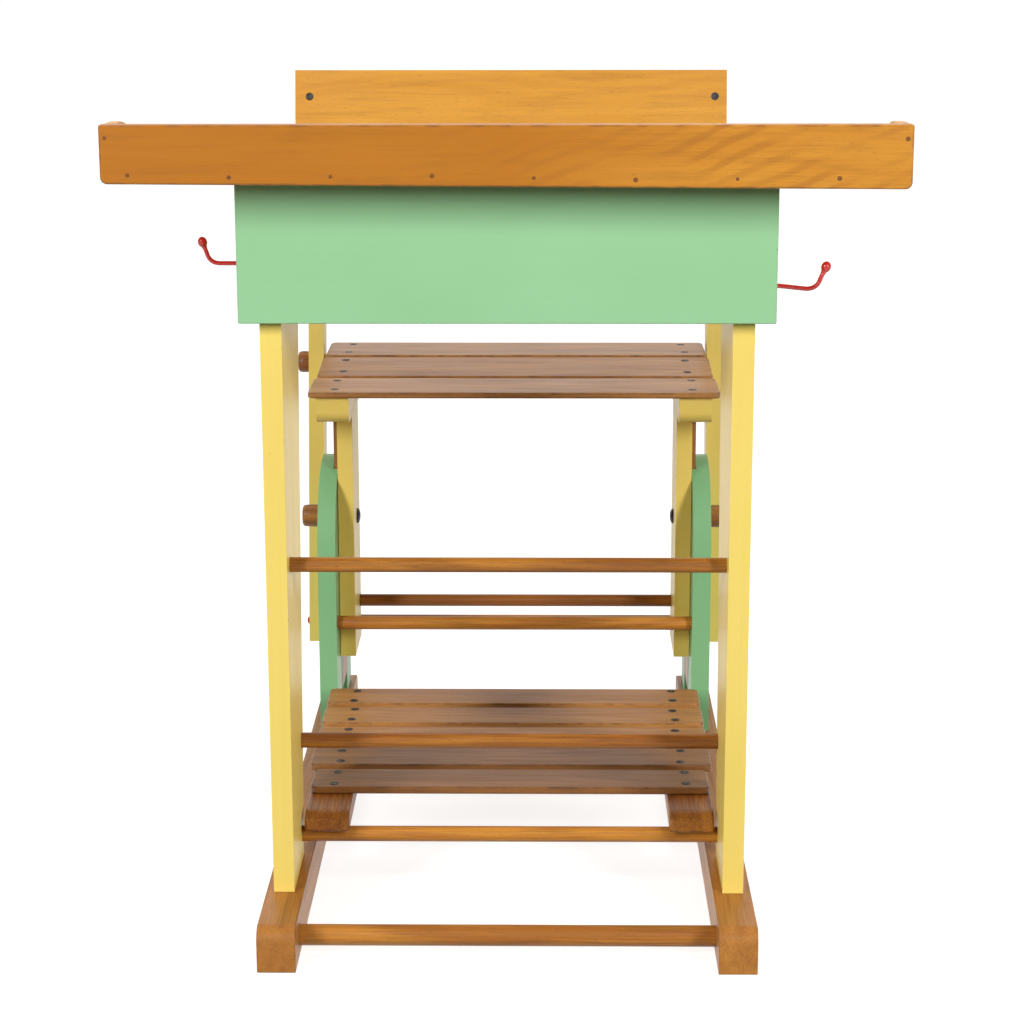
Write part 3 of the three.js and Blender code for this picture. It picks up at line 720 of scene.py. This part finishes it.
def backrest_screw_heads(seeds):
    """Slotted heads on the four screws of the backrest's board, at the front ends of their CAD nodes."""
    forward = Vector(ALONG_X).cross(up_back).normalized()
    end_zone = 0.3 * MM
    for word in SIDES:
        for level in ("upper", "lower"):
            node = f"back_screw_{word}_{level}"
            places = [v.co for v in nodes[node].data.vertices]
            face = max(p.dot(forward) for p in places)
            head = centre_of([p for p in places if p.dot(forward) > face - end_zone])
            slotted_head(f"{node}_head", head, forward, BACK_SCREW_RADIUS, body_of_node[node], next(seeds))


screw_seeds = itertools.count(FIRST_SCREW_SEED)
slat_screws(screw_seeds)
backrest_screw_heads(screw_seeds)


# ---------------------------------------------------------------- pins of the front rim
def rim_pins():
    """Filled nail heads in the front rim: a row that climbs a little to the left, and one at each end."""
    low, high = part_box("top_front_rim")
    places = []
    for i in range(RIM_PINS["count"]):
        x = RIM_PINS["first"] + (RIM_PINS["last"] - RIM_PINS["first"]) * i / (RIM_PINS["count"] - 1)
        climb = RIM_PINS["left_rise"] * (high.x - x) / (high.x - low.x)
        places.append((x, low.z + RIM_PINS["above_bottom"] + climb))
    for side in SIDES.values():
        places.append((side * RIM_PINS["end"], high.z - RIM_PINS["below_top"]))
    for i, (x, z) in enumerate(places):
        drift = math.sin(i * 4.7) * RIM_PINS["drift"]
        radius = RIM_PINS["radius"] * (1 + 0.15 * math.sin(i * 2.9))
        profile = [(out, radius * share) for out, share in PIN_PROFILE]
        pin = turned(f"rim_pin_{i + 1}", profile, (x, low.y, z + drift), (0, -1, 0), FIRST_PIN_SEED + i,
                     materials["pin"], RIM_PINS["sides"])
        ride_with(pin, "top_front_rim")


rim_pins()


# ---------------------------------------------------------------- stage and light
def glowing(name, glow, tint):
    """White stage surface that shows bright but adds little light of its own to the desk."""
    n = Shading(name)
    n.shader.inputs["Emission Color"].default_value = rgb(1, 1, 1)
    n.shader.inputs["Emission Strength"].default_value = glow
    return n.finish(rgb(tint, tint, tint), STAGE_ROUGHNESS)


def stage_object(name, bm, material):
    mesh = bpy.data.meshes.new(name)
    bm.to_mesh(mesh)
    bm.free()
    mesh.materials.append(material)
    obj = placed(name, mesh)
    obj.visible_diffuse = False
    return obj


def floor_and_dome():
    """A round pale floor inside a white dome, so every view has the same plain studio round it."""
    disc = bmesh.new()
    bmesh.ops.create_circle(disc, cap_ends=True, segments=DOME_SIDES, radius=DOME_RADIUS)
    floor = stage_object("floor", disc, glowing("pale_floor", **FLOOR))
    floor.location.z = -FLOOR_GAP
    ball = bmesh.new()
    bmesh.ops.create_uvsphere(ball, u_segments=DOME_SIDES, v_segments=DOME_SIDES // 2, radius=DOME_RADIUS)
    dome = stage_object("dome", ball, glowing("white_wall", **WALL))
    dome.visible_shadow = False
    dome.visible_glossy = False


def area_light(name, place, target, size, watts):
    data = bpy.data.lights.new(name, "AREA")
    data.shape = "RECTANGLE"
    data.size, data.size_y = size
    data.energy = watts
    light = placed(name, data)
    light.location = place
    light.rotation_euler = (Vector(target) - Vector(place)).to_track_quat("-Z", "Y").to_euler()


def studio_sky():
    """White light from all round, dim from in front of the desk and brighter from behind it."""
    world = bpy.data.worlds.new("studio")
    world.use_nodes = True
    tree = world.node_tree
    direction = tree.nodes.new("ShaderNodeTexCoord")
    parts = tree.nodes.new("ShaderNodeSeparateXYZ")
    level = tree.nodes.new("ShaderNodeMapRange")
    background = tree.nodes["Background"]
    tree.links.new(direction.outputs["Generated"], parts.inputs[0])
    tree.links.new(parts.outputs["Y"], level.inputs["Value"])
    for key, value in AMBIENT.items():
        level.inputs[key].default_value = value
    tree.links.new(level.outputs["Result"], background.inputs["Strength"])
    background.inputs["Color"].default_value = rgb(1, 1, 1)
    bpy.context.scene.world = world


floor_and_dome()
for light_name, light_facts in LIGHTS.items():
    area_light(light_name, **light_facts)
studio_sky()
bpy.context.scene.view_settings.view_transform = "Standard"

# ---------------------------------------------------------------- camera
camera_data = bpy.data.cameras.new("camera")
camera_data.lens = CAMERA["focal"]
camera_data.sensor_width = CAMERA["sensor"]
camera = placed("camera", camera_data)
camera.matrix_world = (
    Matrix.Translation((CAMERA["x"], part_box("skid_left")[0].y - CAMERA["before_skids"], CAMERA["height"]))
    @ Matrix.Rotation(math.radians(CAMERA["turn"]), 4, "Z")
    @ Matrix.Rotation(math.radians(90 - CAMERA["down"]), 4, "X")
    @ Matrix.Rotation(math.radians(CAMERA["roll"]), 4, "Z")
)
bpy.context.scene.camera = camera
